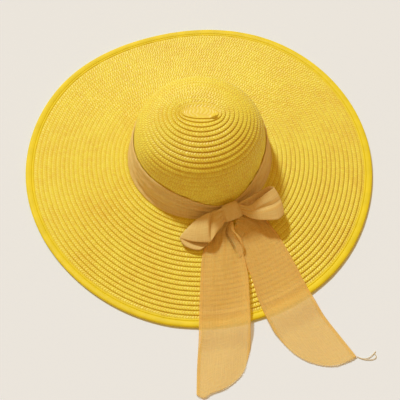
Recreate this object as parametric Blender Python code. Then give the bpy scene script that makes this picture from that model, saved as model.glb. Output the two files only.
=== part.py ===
"""A wide-brimmed sun hat of sewn paper-straw braid, tied with a gathered linen ribbon and a bow.

The hat rests on its brim: z = 0 is the surface below it and Z is the crown's axis. The bow is at
the front, towards -Y and a little to +X.
"""

import math
from collections import namedtuple

import bpy
from mathutils import Vector

# Driving sizes, in metres
BRIM_SPAN = 0.480  # from edge to edge, binding included
HEAD_LENGTH = 0.188  # crown's foot along X, outside
HEAD_WIDTH = 0.188  # crown's foot along Y, outside
CROWN_HEIGHT = 0.0985  # tip above the crown's foot
BRIM_RISE = 0.0327  # brim's upper surface, from its edge to the crown's foot
STRAW = 0.0018  # braid wall
ROW_STEP = 0.0006  # each braid row laps over the next by this much
CROWN_PITCH = 0.0069  # from one row of braid to the next, over the crown
BRIM_PITCH = 0.0062  # and over the brim
TAPE = 0.0012  # binding's wall
TAPE_WIDTH = 0.012  # binding, from the edge to its stitched lip
RIBBON = 0.001  # ribbon's wall
RIBBON_WIDTH = 0.068  # ribbon laid flat
BAND_HEIGHT = 0.040  # ribbon as gathered round the crown
BAND_DIP = 0.027  # how far the band's upper edge is pulled down at the knot
BAND_CREASE = 0.0011  # height of the band's lengthwise creases
LEFT_TAIL_LENGTH = 0.236
RIGHT_TAIL_LENGTH = 0.255
TAIL_PLEAT = 0.0015  # height of the tails' pleats where the knot gathers them
LEFT_LOOP_REACH = 0.0765  # from the knot's middle to the loop's far fold
RIGHT_LOOP_REACH = 0.065
LOOP_LIFT = 0.016  # from the knot's middle to the crest of a loop
LOOP_PUFF = 0.003  # how far a loop's layers swell between their selvages
KNOT_LENGTH = 0.024
KNOT_WIDTH = 0.028
KNOT_DEPTH = 0.012
GAP = 0.0003  # between touching pieces

BOW_AZIMUTH = math.radians(24.0)  # from -Y towards +X
DIP_SPREAD = math.radians(33.0)  # how far round the band the knot's pull is felt
KNOT_LEAN = math.radians(42.0)  # knot's slope down over the band

# Shares of the sizes above
BAND_COVER = 0.14  # of the crown's height: rows of braid below this are hidden by the band
LAP = 0.05  # of a row of braid: how steeply its edge drops to the next row
BRIM_FLAT = 0.965  # of the brim's reach: from here out the rim lies level
BAND_FLARE = 1.6  # of the crease: how far the band's lower edge stands out over the brim
CREASE_DRIFT = 0.4  # of the crease: how much its height varies round the band
PUCKER = 0.07  # of the knot: depth of its gathers
ROOT_SPREAD = 0.10  # of the knot's half depth: where a loop's two layers leave its flank

# Where the tails' cloth passes over the brim's edge
STAND_OFF = 0.010  # it runs on level this far past the braid
STEP_DOWN = 0.030  # and comes down to the resting surface over this far

# How finely the pieces are faceted
CROWN_SIDES = 36
BRIM_SIDES = 40
BAND_SIDES = 36
BAND_STRIPS = 6
KNOT_SIDES = 12
LOOP_STATIONS = 10
LOOP_COLUMNS = 4
TAIL_STATION = 0.0105  # from one station of a tail to the next

BRIM_RADIUS = BRIM_SPAN / 2
HALF_LENGTH = HEAD_LENGTH / 2
HALF_WIDTH = HEAD_WIDTH / 2
FOOT_RADIUS = (HALF_LENGTH + HALF_WIDTH) / 2
STRAW_EDGE = BRIM_RADIUS - TAPE - GAP  # where the braid ends inside the binding
EDGE_TOP = TAPE + GAP + STRAW  # brim's upper surface at its edge
FOOT_TOP = EDGE_TOP + BRIM_RISE  # and at the crown's foot

# Crown, from the tip down. drop is a share of CROWN_HEIGHT; length and width are shares of the
# foot's half length and half width; back is how far the ring sits towards +Y, a share of the
# half width.
CrownRow = namedtuple("CrownRow", "drop length width back")
CROWN_ROWS = (
    CrownRow(0.000, 0.205, 0.020, 0.060),
    CrownRow(0.015, 0.350, 0.230, 0.068),
    CrownRow(0.051, 0.500, 0.410, 0.078),
    CrownRow(0.112, 0.640, 0.575, 0.084),
    CrownRow(0.188, 0.750, 0.713, 0.084),
    CrownRow(0.269, 0.830, 0.806, 0.076),
    CrownRow(0.350, 0.880, 0.856, 0.068),
    CrownRow(0.452, 0.915, 0.891, 0.060),
    CrownRow(0.594, 0.936, 0.923, 0.044),
    CrownRow(0.706, 0.945, 0.936, 0.036),
    CrownRow(0.858, 0.960, 0.955, 0.022),
    CrownRow(1.000, 1.000, 1.000, 0.000),
)

# Brim's upper surface. reach is a share of the way from the crown's foot to the braid's edge,
# rise a share of BRIM_RISE.
BrimRow = namedtuple("BrimRow", "reach rise")
BRIM_ROWS = (
    BrimRow(0.00, 1.000),
    BrimRow(0.08, 0.945),
    BrimRow(0.25, 0.775),
    BrimRow(0.50, 0.500),
    BrimRow(0.75, 0.225),
    BrimRow(0.90, 0.065),
    BrimRow(BRIM_FLAT, 0.000),
    BrimRow(1.00, 0.000),
)

# Slow waves in the brim's outline. turn is in degrees from +X towards +Y, out a share of the
# brim's radius.
WaveRow = namedtuple("WaveRow", "turn out")
WAVE_ROWS = (
    WaveRow(-99.0, 0.0120),
    WaveRow(-48.0, 0.0080),
    WaveRow(-11.0, -0.0090),
    WaveRow(25.0, 0.0000),
    WaveRow(62.0, 0.0120),
    WaveRow(106.0, -0.0150),
    WaveRow(145.0, 0.0110),
    WaveRow(180.0, 0.0020),
    WaveRow(219.0, -0.0110),
    WaveRow(261.0, 0.0120),
)

# Middle lines of the tails, from the knot outwards. x and y are measured from the knot's lower
# end, as shares of the tail's length; width is a share of the ribbon's width.
TailRow = namedtuple("TailRow", "along x y width")
LEFT_TAIL_ROWS = (
    TailRow(0.00, -0.058, -0.038, 0.20),
    TailRow(0.08, -0.064, -0.107, 0.55),
    TailRow(0.18, -0.064, -0.209, 0.82),
    TailRow(0.32, -0.056, -0.351, 0.94),
    TailRow(0.60, -0.055, -0.626, 1.00),
    TailRow(0.80, -0.064, -0.824, 1.00),
    TailRow(1.00, -0.074, -1.033, 0.96),
)
RIGHT_TAIL_ROWS = (
    TailRow(0.00, 0.026, 0.018, 0.34),
    TailRow(0.07, 0.087, -0.020, 0.62),
    TailRow(0.15, 0.128, -0.080, 0.74),
    TailRow(0.23, 0.164, -0.151, 0.81),
    TailRow(0.37, 0.216, -0.278, 0.93),
    TailRow(0.48, 0.257, -0.382, 1.00),
    TailRow(0.67, 0.339, -0.546, 1.04),
    TailRow(0.84, 0.429, -0.687, 1.04),
    TailRow(1.00, 0.518, -0.815, 1.02),
)

# Cut ends of the tails. across runs from -1 at the left edge to 1 at the right, and short_by is
# how much earlier the cloth ends there, a share of the ribbon's width.
CutRow = namedtuple("CutRow", "across short_by")
LEFT_TAIL_CUT = (
    CutRow(-1.00, 0.06),
    CutRow(-0.72, 0.00),
    CutRow(-0.40, 0.10),
    CutRow(0.00, 0.18),
    CutRow(0.45, 0.34),
    CutRow(0.80, 0.58),
    CutRow(1.00, 1.05),
)
RIGHT_TAIL_CUT = (
    CutRow(-1.00, 1.30),
    CutRow(-0.85, 0.78),
    CutRow(-0.58, 0.45),
    CutRow(-0.10, 0.16),
    CutRow(0.30, 0.05),
    CutRow(0.68, 0.01),
    CutRow(1.00, 0.00),
)

# Where a loop's upper and lower selvage leave the knot's flank, as shares of its length.
LoopRoot = namedtuple("LoopRoot", "top low")
LEFT_LOOP_ROOT = LoopRoot(0.12, 0.90)
RIGHT_LOOP_ROOT = LoopRoot(0.20, 0.78)

# Loops, from the knot out over the front, round the fold and back underneath; along runs from 0 to
# 1 on the way. side is a share of the way from the knot's flank to the loop's reach, out (away from
# the crown) a share of the reach, and up (from the knot's middle) a share of LOOP_LIFT. The first
# three place the upper selvage, the last three the lower one.
LoopRow = namedtuple("LoopRow", "along side out up low_side low_out low_up")
LEFT_LOOP_ROWS = (
    LoopRow(0.14, 0.11, -0.10, 0.23, 0.27, 0.27, -0.21),
    LoopRow(0.29, 0.26, -0.10, 0.36, 0.49, 0.36, -0.46),
    LoopRow(0.43, 0.43, -0.10, 0.17, 0.77, 0.22, -0.64),
    LoopRow(0.57, 0.55, -0.10, -0.14, 1.00, 0.03, -0.83),
    LoopRow(0.71, 0.47, -0.07, -0.46, 0.98, 0.19, -0.92),
    LoopRow(0.86, 0.23, -0.03, -0.52, 0.74, 0.38, -0.96),
)
RIGHT_LOOP_ROWS = (
    LoopRow(0.14, 0.16, 0.07, 0.36, 0.14, 0.32, -0.14),
    LoopRow(0.29, 0.43, 0.04, 0.61, 0.42, 0.47, -0.08),
    LoopRow(0.43, 0.73, -0.02, 0.73, 0.72, 0.55, -0.14),
    LoopRow(0.57, 1.00, -0.09, 0.61, 0.99, 0.44, -0.39),
    LoopRow(0.71, 0.89, -0.15, 0.67, 0.88, 0.34, -0.64),
    LoopRow(0.86, 0.53, -0.12, 0.62, 0.47, 0.18, -0.55),
)

# A loop's selvages at one place along it, in metres.
Station = namedtuple("Station", "along x y z low_x low_y low_z")

# Knot, from its upper end down. along is a share of KNOT_LENGTH, width and depth are shares of
# the knot's own.
KnotRow = namedtuple("KnotRow", "along width depth")
KNOT_ROWS = (
    KnotRow(0.00, 0.62, 0.45),
    KnotRow(0.12, 0.80, 0.80),
    KnotRow(0.35, 0.86, 1.00),
    KnotRow(0.65, 0.96, 0.98),
    KnotRow(0.88, 1.00, 0.78),
    KnotRow(1.00, 0.84, 0.45),
)

STRAW_COLOUR = (0.80, 0.55, 0.06)
TAPE_COLOUR = (0.90, 0.62, 0.02)
RIBBON_COLOUR = (0.74, 0.42, 0.13)
STRAW_ROUGHNESS = 0.7
TAPE_ROUGHNESS = 0.45
RIBBON_ROUGHNESS = 0.8


def read(rows, key, at, column):
    """The column's value where the key column is at, on a smooth curve that never overshoots."""
    keys = [getattr(row, key) for row in rows]
    values = [getattr(row, column) for row in rows]
    at = min(max(at, keys[0]), keys[-1])
    steps = [keys[i + 1] - keys[i] for i in range(len(keys) - 1)]
    slopes = [(values[i + 1] - values[i]) / steps[i] for i in range(len(steps))]
    tangents = [slopes[0]]
    for before, after in zip(slopes, slopes[1:]):
        tangents.append(0.0 if before * after <= 0 else 2 * before * after / (before + after))
    tangents.append(slopes[-1])
    i = max(n for n in range(len(steps)) if keys[n] <= at)
    t = (at - keys[i]) / steps[i]
    return (
        (2 * t**3 - 3 * t**2 + 1) * values[i]
        + (t**3 - 2 * t**2 + t) * steps[i] * tangents[i]
        + (3 * t**2 - 2 * t**3) * values[i + 1]
        + (t**3 - t**2) * steps[i] * tangents[i + 1]
    )


def ease(share):
    """From 0 to 1 with a level start and end, held outside them."""
    t = min(max(share, 0.0), 1.0)
    return t * t * (3 - 2 * t)


def turns(sides):
    return [2 * math.pi * i / sides for i in range(sides)]


def round_z(turn, radius, height):
    return Vector((radius * math.cos(turn), radius * math.sin(turn), height))


def crown_at(drop, turn):
    """A point on the crown's outer surface, at a share of its height below the tip."""
    length = HALF_LENGTH * read(CROWN_ROWS, "drop", drop, "length")
    width = HALF_WIDTH * read(CROWN_ROWS, "drop", drop, "width")
    back = HALF_WIDTH * read(CROWN_ROWS, "drop", drop, "back")
    height = FOOT_TOP + GAP + CROWN_HEIGHT * (1 - drop)
    return Vector((length * math.cos(turn), back + width * math.sin(turn), height))


def crown_point(drop, turn, out):
    """The same point moved out along the surface's normal."""
    small = 1e-3
    low, high = max(drop - small, 0.0), min(drop + small, 1.0)
    down = crown_at(high, turn) - crown_at(low, turn)
    around = crown_at(drop, turn + small) - crown_at(drop, turn - small)
    return crown_at(drop, turn) + down.cross(around).normalized() * out


def crown_drops(spacing, end):
    """Shares of the crown's height, from the tip down, that are spacing apart over its surface."""
    fine = 400
    front = -math.pi / 2
    drops, walked, last = [0.0], 0.0, crown_at(0.0, front)
    for i in range(1, fine + 1):
        here = crown_at(end * i / fine, front)
        walked += (here - last).length
        last = here
        if walked >= spacing:
            drops.append(end * i / fine)
            walked -= spacing
    return drops


def beside_crown(height, turn, out):
    """A point at a height above the resting surface, moved out level from the crown."""
    drop = min(max(1 - (height - FOOT_TOP - GAP) / CROWN_HEIGHT, 0.0), 1.0)
    point = crown_at(drop, turn)
    way = Vector((math.cos(turn) / HALF_LENGTH, math.sin(turn) / HALF_WIDTH, 0)).normalized()
    return Vector((point.x, point.y, height)) + way * out


def foot_radius(turn):
    """From the hat's axis to the crown's foot, which is an ellipse, at an angle from +X."""
    across = math.hypot(HALF_WIDTH * math.cos(turn), HALF_LENGTH * math.sin(turn))
    return HALF_LENGTH * HALF_WIDTH / across


def straw_radius(turn):
    """From the hat's axis to the braid's edge, with the slow waves of the brim's outline."""
    first = WAVE_ROWS[0].turn
    degrees = (math.degrees(turn) - first) % 360.0 + first
    return STRAW_EDGE * (1 + read(WAVE_ROWS, "turn", degrees, "out"))


def brim_top(reach):
    return EDGE_TOP + BRIM_RISE * read(BRIM_ROWS, "reach", reach, "rise")


def brim_point(reach, turn, up):
    """A point over the brim's upper surface, at a share of the way to the braid's edge."""
    foot = foot_radius(turn)
    return round_z(turn, foot + (straw_radius(turn) - foot) * reach, brim_top(reach) + up)


def rest_height(x, y):
    """Where cloth lies: over the brim and its binding, and past the edge down to z = 0."""
    turn, radius = math.atan2(y, x), math.hypot(x, y)
    foot, edge = foot_radius(turn), straw_radius(turn)
    reach = (radius - foot) / (edge - foot)
    over_braid = brim_top(min(max(reach, 0.0), 1.0)) + ROW_STEP + GAP
    onto_tape = ease((radius - edge + 2 * TAPE_WIDTH) / TAPE_WIDTH)
    past_edge = ease((radius - edge - STAND_OFF) / STEP_DOWN)
    return (over_braid + (TAPE + 2 * GAP) * onto_tape) * (1 - past_edge)


def material(name, colour, roughness):
    made = bpy.data.materials.new(name)
    made.use_nodes = True
    shader = made.node_tree.nodes["Principled BSDF"]
    shader.inputs["Base Color"].default_value = (*colour, 1.0)
    shader.inputs["Roughness"].default_value = roughness
    shader.inputs["Metallic"].default_value = 0.0
    made.diffuse_color = (*colour, 1.0)
    return made


def mesh_object(name, points, faces, colour, roughness):
    mesh = bpy.data.meshes.new(name)
    mesh.from_pydata([tuple(p) for p in points], [], faces)
    mesh.shade_smooth()
    mesh.set_sharp_from_angle(angle=math.radians(40))
    made = bpy.data.objects.new(name, mesh)
    made.data.materials.append(material(name + "_finish", colour, roughness))
    bpy.context.scene.collection.objects.link(made)
    return made


def loft(name, rings, capped, colour, roughness):
    """A closed body through rings of points: capped at both ends, or joined end to end."""
    count, sides = len(rings), len(rings[0])
    points = [point for ring in rings for point in ring]
    faces = []
    for i in range(count - 1 if capped else count):
        here, there = i * sides, (i + 1) % count * sides
        for j in range(sides):
            k = (j + 1) % sides
            faces.append((here + j, here + k, there + k, there + j))
    if capped:
        faces.append(tuple(reversed(range(sides))))
        faces.append(tuple(range((count - 1) * sides, count * sides)))
    return mesh_object(name, points, faces, colour, roughness)


def cloth(name, grid, wrapped):
    """Ribbon: a grid of points, row by row, thickened away from what it lies on."""
    rows, columns = len(grid), len(grid[0])
    points = [point for row in grid for point in row]
    faces = []
    for i in range(rows if wrapped else rows - 1):
        here, there = i * columns, (i + 1) % rows * columns
        for j in range(columns - 1):
            faces.append((here + j, there + j, there + j + 1, here + j + 1))
    made = mesh_object(name, points, faces, RIBBON_COLOUR, RIBBON_ROUGHNESS)
    wall = made.modifiers.new("Wall", "SOLIDIFY")
    wall.thickness = RIBBON
    wall.offset = 1.0
    return made


def make_crown():
    """Rows of braid lapped like shingles, each over the one below it, from the tip to the foot."""
    end = 1 - BAND_COVER
    drops = crown_drops(CROWN_PITCH, end)
    outer = [(drops[0], ROW_STEP)]
    for upper, lower in zip(drops, drops[1:]):
        outer += [(lower - (lower - upper) * LAP, ROW_STEP), (lower, 0.0)]
    outer += [(1.0, 0.0)]
    inner = [(drop, -STRAW) for drop in drops[::3] + [end, 1.0]]
    rings = []
    for drop, out in inner + outer[::-1]:
        ring = [crown_point(drop, turn, out) for turn in turns(CROWN_SIDES)]
        if drop == 1.0:
            for point in ring:
                point.z = FOOT_TOP + GAP
        rings.append(ring)
    return loft("crown", rings, True, STRAW_COLOUR, STRAW_ROUGHNESS)


def make_brim():
    """Rows of braid lapped like shingles, each over the next one out."""
    rows = round((STRAW_EDGE - FOOT_RADIUS) / BRIM_PITCH)
    inner_lip = -STRAW / (STRAW_EDGE - FOOT_RADIUS)  # under the crown's wall
    above = [(inner_lip, 0.0)]
    for i in range(rows - 1):
        above += [(i / rows, 0.0), ((i + 1 - LAP) / rows, ROW_STEP)]
    above += [((rows - 1) / rows, 0.0), (1.0, 0.0)]  # the outermost row lies flat in the binding
    below = [(row.reach, -STRAW) for row in reversed(BRIM_ROWS[1:])] + [(inner_lip, -STRAW)]
    rings = []
    for reach, up in above + below:
        rings.append([brim_point(reach, turn, up) for turn in turns(BRIM_SIDES)])
    return loft("brim", rings[::-1], False, STRAW_COLOUR, STRAW_ROUGHNESS)


def make_binding():
    """Tape folded over the brim's edge: a channel with a flat foot that the hat rests on."""
    metre = 1 / (STRAW_EDGE - FOOT_RADIUS)  # as a share of the brim's reach
    lip = 1 - (TAPE_WIDTH - TAPE - GAP) * metre
    end = 1 + GAP * metre
    rim = end + TAPE * metre
    top_in = ROW_STEP + GAP
    top_out = top_in + TAPE
    under_in = -STRAW - GAP
    under_out = under_in - TAPE
    middle = (top_out + under_out) / 2
    section = (
        (lip, top_out),
        (1 - 0.25 * TAPE * metre, top_out),
        (rim, middle + 0.3 * TAPE),
        (rim, middle - 0.6 * TAPE),
        (1 - 0.5 * TAPE * metre, under_out),
        (BRIM_FLAT, under_out),
        (lip, under_out),
        (lip, under_in),
        (BRIM_FLAT, under_in),
        (end, under_in),
        (end, top_in),
        (lip, top_in),
    )
    rings = [[brim_point(reach, turn, up) for turn in turns(BRIM_SIDES)] for reach, up in section]
    return loft("brim_binding", rings[::-1], False, TAPE_COLOUR, TAPE_ROUGHNESS)


def band_top(turn):
    """The band's upper edge, pulled down where the knot draws it together."""
    bow_turn = BOW_AZIMUTH - math.pi / 2
    away = (turn - bow_turn + math.pi) % (2 * math.pi) - math.pi
    return FOOT_TOP + BAND_HEIGHT - BAND_DIP * math.exp(-((away / DIP_SPREAD) ** 2))


def make_hatband():
    """Ribbon gathered round the foot of the crown, with creases that run along it."""
    grid = []
    for turn in turns(BAND_SIDES):
        low, high = FOOT_TOP + GAP, band_top(turn)
        line = []
        for j in range(BAND_STRIPS + 1):
            share = j / BAND_STRIPS
            flare = BAND_CREASE * BAND_FLARE * (1 - share) ** 3
            crease = BAND_CREASE * (j % 2) * (1 + CREASE_DRIFT * math.sin(3 * turn + j))
            height = low + (high - low) * share
            line.append(beside_crown(height, turn, ROW_STEP + GAP + flare + crease))
        grid.append(line)
    return cloth("hatband", grid, True)


def covered_radius(height, turn):
    """How far out the hat reaches at a height: the crown, with the band where it is that low."""
    cover = ROW_STEP
    if height < band_top(turn):
        cover += GAP + BAND_CREASE * (1 + CREASE_DRIFT) + RIBBON
        cover += BAND_CREASE * BAND_FLARE * (1 - (height - FOOT_TOP) / BAND_HEIGHT) ** 3
    beside = beside_crown(height, turn, cover)
    return math.hypot(beside.x, beside.y)


def clear_of_hat(point):
    """A point of a loop, moved out off the band and up off the tails where it is too near them."""
    turn = math.atan2(point.y, point.x)
    radius = max(math.hypot(point.x, point.y), covered_radius(point.z, turn) + GAP + RIBBON)
    moved = round_z(turn, radius, point.z)
    moved.z = max(moved.z, rest_height(moved.x, moved.y) + TAIL_PLEAT + 2 * (RIBBON + GAP))
    return moved


def bow_frame():
    """The knot's middle, the way to the right along the band, the way out from it and its slope."""
    out = Vector((math.sin(BOW_AZIMUTH), -math.cos(BOW_AZIMUTH), 0))
    right = Vector((math.cos(BOW_AZIMUTH), math.sin(BOW_AZIMUTH), 0))
    up = Vector((0, 0, 1))
    down = out * math.cos(KNOT_LEAN) - up * math.sin(KNOT_LEAN)
    proud = out * math.sin(KNOT_LEAN) + up * math.cos(KNOT_LEAN)
    half_depth = KNOT_DEPTH / 2 * (1 - PUCKER)
    backs = [
        down * KNOT_LENGTH * (row.along - 0.5) - proud * half_depth * row.depth for row in KNOT_ROWS
    ]
    # It is seated on the tails below it and on the band behind it.
    tails = TAIL_PLEAT + RIBBON + GAP
    height, radius = 0.0, 0.0
    for back in backs:
        under = out * (foot_radius(BOW_AZIMUTH - math.pi / 2) + KNOT_DEPTH / 2 + back.dot(out))
        height = max(height, rest_height(under.x, under.y) + tails - back.z)
    for back in backs:
        behind = covered_radius(height + back.z, BOW_AZIMUTH - math.pi / 2)
        radius = max(radius, behind + GAP - back.dot(out))
    return out * radius + up * height, right, out, down, proud


def make_knot():
    """The crossing loop that gathers the bow: a short barrel lying down over the band."""
    middle, right, _, down, proud = bow_frame()
    rings = []
    for row in KNOT_ROWS:
        centre = middle + down * KNOT_LENGTH * (row.along - 0.5)
        ring = []
        for i, turn in enumerate(turns(KNOT_SIDES)):
            size = 0.5 - PUCKER / 2 * (i % 2)
            across = right * math.cos(turn) * row.width * KNOT_WIDTH * size
            ring.append(centre + across + proud * math.sin(turn) * row.depth * KNOT_DEPTH * size)
        rings.append(ring)
    return loft("bow_knot", rings, True, RIBBON_COLOUR, RIBBON_ROUGHNESS)


def make_loop(name, rows, root, reach, side):
    """Ribbon that leaves the knot, folds over at its far end and comes back underneath."""
    middle, right, out, down, proud = bow_frame()
    up = Vector((0, 0, 1))
    flank = KNOT_WIDTH / 2 + GAP

    def rooted(share, layer):
        place = root.top + (root.low - root.top) * share
        width = KNOT_WIDTH / 2 * read(KNOT_ROWS, "along", place, "width")
        on_knot = down * KNOT_LENGTH * (place - 0.5) + proud * KNOT_DEPTH / 2 * ROOT_SPREAD * layer
        return middle + on_knot + right * side * (width + GAP)

    def placed(away, beyond, lift):
        sideways = right * side * (flank + (reach - flank) * away)
        return middle + sideways + out * beyond * reach + up * lift * LOOP_LIFT

    stations = [Station(0.0, *rooted(0, 1), *rooted(1, 1))]
    for row in rows:
        top = placed(row.side, row.out, row.up)
        low = placed(row.low_side, row.low_out, row.low_up)
        stations.append(Station(row.along, *top, *low))
    stations.append(Station(1.0, *rooted(0, -1), *rooted(1, -1)))

    grid = []
    for i in range(LOOP_STATIONS + 1):
        along = i / LOOP_STATIONS
        top = Vector([read(stations, "along", along, c) for c in ("x", "y", "z")])
        low = Vector([read(stations, "along", along, c) for c in ("low_x", "low_y", "low_z")])
        around = math.pi * along
        swell = (up * math.cos(around) + right * side * math.sin(around)) * LOOP_PUFF
        line = []
        for j in range(LOOP_COLUMNS + 1):
            share = j / LOOP_COLUMNS
            if i in (0, LOOP_STATIONS):
                line.append(rooted(share, 1 if i == 0 else -1))
                continue
            bow = 4 * share * (1 - share) * math.sqrt(math.sin(around))
            line.append(clear_of_hat(top.lerp(low, share) + swell * bow))
        grid.append(line[::-1] if side > 0 else line)
    return cloth(name, grid, False)


def make_tail(name, rows, cut, length):
    """A ribbon end from under the knot, over the brim and its edge and out along z = 0."""
    middle, _, _, down, _ = bow_frame()
    foot = middle + down * KNOT_LENGTH / 2
    small = 0.01
    stations = round(length / TAIL_STATION)

    def centre(along):
        x, y = (read(rows, "along", along, c) * length for c in ("x", "y"))
        return Vector((foot.x + x, foot.y + y, 0))

    grid = []
    for i in range(stations + 1):
        line = []
        for j, end in enumerate(cut):
            along = i / stations * (1 - end.short_by * RIBBON_WIDTH / length)
            way = (centre(min(along + small, 1)) - centre(max(along - small, 0))).normalized()
            width = read(rows, "along", along, "width")
            point = centre(along) + Vector((-way.y, way.x, 0)) * end.across * width * RIBBON_WIDTH / 2
            gathered = max(0.0, 1 - width)
            point.z = rest_height(point.x, point.y) + TAIL_PLEAT * gathered * (j % 2)
            line.append(point)
        grid.append(line)
    return cloth(name, grid, False)


def clear_scene():
    for old in list(bpy.data.objects):
        bpy.data.objects.remove(old)


def main():
    clear_scene()
    make_crown()
    make_brim()
    make_binding()
    make_hatband()
    make_knot()
    make_loop("bow_loop_left", LEFT_LOOP_ROWS, LEFT_LOOP_ROOT, LEFT_LOOP_REACH, -1)
    make_loop("bow_loop_right", RIGHT_LOOP_ROWS, RIGHT_LOOP_ROOT, RIGHT_LOOP_REACH, 1)
    make_tail("tail_left", LEFT_TAIL_ROWS, LEFT_TAIL_CUT, LEFT_TAIL_LENGTH)
    make_tail("tail_right", RIGHT_TAIL_ROWS, RIGHT_TAIL_CUT, RIGHT_TAIL_LENGTH)


main()
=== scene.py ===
"""The looks of a wide-brimmed sun hat: paper-straw braid sewn in a spiral, a bound edge and a sheer
linen ribbon with a bow and two tails. Laid out as a Blender add-on and run as a script."""

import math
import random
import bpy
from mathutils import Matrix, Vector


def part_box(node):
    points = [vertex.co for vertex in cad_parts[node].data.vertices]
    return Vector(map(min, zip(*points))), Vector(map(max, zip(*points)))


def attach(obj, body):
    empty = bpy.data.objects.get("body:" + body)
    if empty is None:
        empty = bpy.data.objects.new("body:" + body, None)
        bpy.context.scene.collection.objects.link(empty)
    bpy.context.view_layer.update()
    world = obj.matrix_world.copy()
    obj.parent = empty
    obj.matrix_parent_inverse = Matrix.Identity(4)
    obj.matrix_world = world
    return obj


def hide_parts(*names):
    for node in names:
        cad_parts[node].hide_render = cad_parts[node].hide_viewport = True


bl_info = {
    "name": "Sun Hat Maker",
    "version": (1, 0, 0),
    "blender": (4, 5, 0),
    "location": "3D View > Sidebar > Sun Hat",
    "description": "Models a straw sun hat with a linen ribbon over its frame",
    "category": "Add Mesh",
}

from collections import namedtuple

import bpy
import numpy as np
from bpy.props import FloatProperty, FloatVectorProperty, IntProperty, PointerProperty
from mathutils import Vector

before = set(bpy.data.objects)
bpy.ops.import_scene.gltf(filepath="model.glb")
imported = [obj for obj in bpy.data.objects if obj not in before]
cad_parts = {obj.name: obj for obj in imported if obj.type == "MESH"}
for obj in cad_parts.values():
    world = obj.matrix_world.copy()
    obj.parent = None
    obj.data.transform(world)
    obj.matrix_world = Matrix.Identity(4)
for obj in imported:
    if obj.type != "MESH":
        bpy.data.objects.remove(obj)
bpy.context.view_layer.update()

# What the frame says of the hat
FOOT_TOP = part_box("hatband")[0][2]  # level that the crown and the band stand on
CROWN_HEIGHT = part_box("crown")[1][2] - FOOT_TOP
KNOT_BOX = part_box("bow_knot")
KNOT_MIDDLE = (np.array(KNOT_BOX[0]) + np.array(KNOT_BOX[1])) / 2

BOW_AZIMUTH = math.radians(24.0)  # from -Y towards +X
BOW_TURN = BOW_AZIMUTH - math.pi / 2
OUT = np.array((math.sin(BOW_AZIMUTH), -math.cos(BOW_AZIMUTH), 0.0))
RIGHT = np.array((math.cos(BOW_AZIMUTH), math.sin(BOW_AZIMUTH), 0.0))
UP = np.array((0.0, 0.0, 1.0))
KNOT_LEAN = math.radians(42.0)  # knot's slope down over the band
DIP_SPREAD = math.radians(33.0)  # how far round the band the knot's pull is felt
DOWN = OUT * math.cos(KNOT_LEAN) - UP * math.sin(KNOT_LEAN)
PROUD = OUT * math.sin(KNOT_LEAN) + UP * math.cos(KNOT_LEAN)

SINK = 0.0006  # how far the grooves between rows of braid lie below the frame's surface

# How the ribbon lies on the hat
SPANNED = 0.75  # of the braid's relief: cloth spans the grooves between rows
TAPE_STANDS = 1.2  # of the tape's wall: how far the binding stands over the braid
RUN_ON = 0.008  # it runs on level this far past the braid
STEP_DOWN = 0.030  # and comes down to the floor over this far
OFF_FLOOR = 0.0006  # how far above the floor it then lies

# Shader nodes that many finishes use, and the sockets of a Mix node that mixes colours
MATH = "ShaderNodeMath"
NOISE = "ShaderNodeTexNoise"
COLOUR_A, COLOUR_B, MIXED = 6, 7, 2

# Crown, from the tip down: drop is a share of its height, length and width of the foot's half
# sizes, back how far the ring sits towards +Y, a share of the half width.
CrownRow = namedtuple("CrownRow", "drop length width back")
CROWN_ROWS = (
    CrownRow(0.000, 0.205, 0.000, 0.060),
    CrownRow(0.015, 0.350, 0.230, 0.068),
    CrownRow(0.051, 0.500, 0.410, 0.078),
    CrownRow(0.112, 0.640, 0.575, 0.084),
    CrownRow(0.188, 0.750, 0.713, 0.084),
    CrownRow(0.269, 0.830, 0.806, 0.076),
    CrownRow(0.350, 0.880, 0.856, 0.068),
    CrownRow(0.452, 0.915, 0.891, 0.060),
    CrownRow(0.594, 0.936, 0.923, 0.044),
    CrownRow(0.706, 0.945, 0.936, 0.036),
    CrownRow(0.858, 0.960, 0.955, 0.022),
    CrownRow(1.000, 1.000, 1.000, 0.000),
)

# Brim's upper surface: reach from the crown's foot to the braid's edge, rise a share of the rise.
BrimRow = namedtuple("BrimRow", "reach rise")
BRIM_FLAT = 0.965  # of the brim's reach: from here out the rim lies level
BRIM_ROWS = (
    BrimRow(0.00, 1.000),
    BrimRow(0.08, 0.945),
    BrimRow(0.25, 0.775),
    BrimRow(0.50, 0.500),
    BrimRow(0.75, 0.225),
    BrimRow(0.90, 0.065),
    BrimRow(BRIM_FLAT, 0.000),
    BrimRow(1.00, 0.000),
)

# Slow waves of the brim's outline: turn in degrees from +X, out a share of the brim's radius.
WaveRow = namedtuple("WaveRow", "turn out")
WAVE_ROWS = (
    WaveRow(-99.0, 0.0120),
    WaveRow(-48.0, 0.0080),
    WaveRow(-11.0, -0.0090),
    WaveRow(25.0, 0.0000),
    WaveRow(62.0, 0.0120),
    WaveRow(106.0, -0.0150),
    WaveRow(145.0, 0.0110),
    WaveRow(180.0, 0.0020),
    WaveRow(219.0, -0.0110),
    WaveRow(261.0, 0.0120),
)

# Section of one row of braid, from the edge tucked under the row before it to its own free edge.
BraidRow = namedtuple("BraidRow", "across height")
BRAID_ROWS = (
    BraidRow(0.000, 0.00),
    BraidRow(0.070, 0.22),
    BraidRow(0.250, 0.52),
    BraidRow(0.500, 0.80),
    BraidRow(0.740, 0.98),
    BraidRow(0.880, 1.00),
    BraidRow(0.965, 0.70),
    BraidRow(1.000, 0.00),
)

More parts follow.
